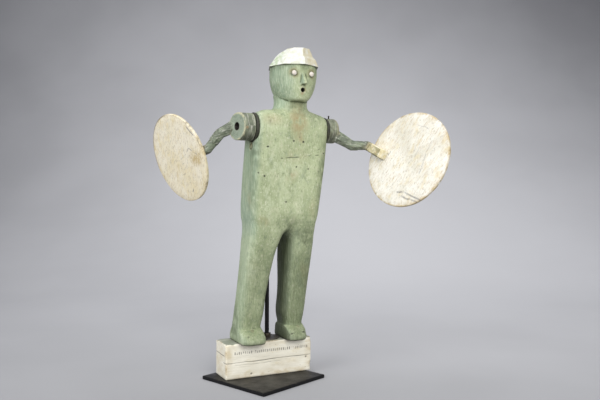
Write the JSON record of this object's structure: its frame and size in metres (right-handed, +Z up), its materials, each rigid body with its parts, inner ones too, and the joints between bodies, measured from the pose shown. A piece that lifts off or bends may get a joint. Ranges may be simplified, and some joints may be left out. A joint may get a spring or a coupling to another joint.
{
  "type": "whirligig",
  "caption": "Carved wooden whirligig: a standing figure in a cap whose arms turn on a shoulder axle, each holding a round wind paddle, on a block that swivels on a rod and square base plate.",
  "frame": {"origin": "on the ground under the stand rod's axis", "axes": "+Z up along the rod; the figure faces -Y and its left hand is on +X, so +X also runs along the shoulder axle from right to left"},
  "size_m": [0.3366, 0.3266, 0.48],
  "materials": {
    "black_steel": "satin black paint, scuffed",
    "bare_steel": "plain steel, dull",
    "dark_nail": "dark rusty iron",
    "brass_tube": "plain brass tube",
    "green_wood": "weathered sage green paint over wood",
    "arm_wood": "weathered dark green paint, cream at the hand",
    "cream_wood": "weathered cream paint with cracks",
    "white_wood": "weathered white paint",
    "paddle_wood": "weathered cream white paint, yellowed at the edge",
    "eye_white": "white paint on a nail head",
    "dark_washer": "dark oiled leather disc"
  },
  "bodies": {
    "stand": {"base_plate": "black_steel", "stand_rod": "black_steel", "rod_washer": "black_steel", "rod_nut": "black_steel"},
    "figure": {"plinth_block": "cream_wood", "foot_screws": "bare_steel", "foot_nails": "dark_nail", "body": "green_wood", "cap": "white_wood", "cap_nails": "dark_nail", "eye_nail_right": "eye_white", "eye_nail_left": "eye_white", "axle_tube": "brass_tube", "shoulder_washer_right": "dark_washer", "shoulder_washer_left": "dark_washer"},
    "rotor": {"axle": "bare_steel", "arm_right": "arm_wood", "arm_left": "arm_wood", "hub_nail_right": "dark_nail", "hub_nail_left": "dark_nail", "paddle_right": "paddle_wood", "paddle_left": "paddle_wood", "paddle_brads_right": "dark_nail", "paddle_brads_left": "dark_nail"}
  },
  "joints": [
    {"name": "swivel", "type": "hinge", "parent": "stand", "child": "figure", "pos_m": [0, 0, 0.055], "axis": [0, 0, 1], "continuous": true},
    {"name": "arms_spin", "type": "hinge", "parent": "figure", "child": "rotor", "pos_m": [0, -0.045, 0.366], "axis": [1, 0, 0], "continuous": true}
  ]
}
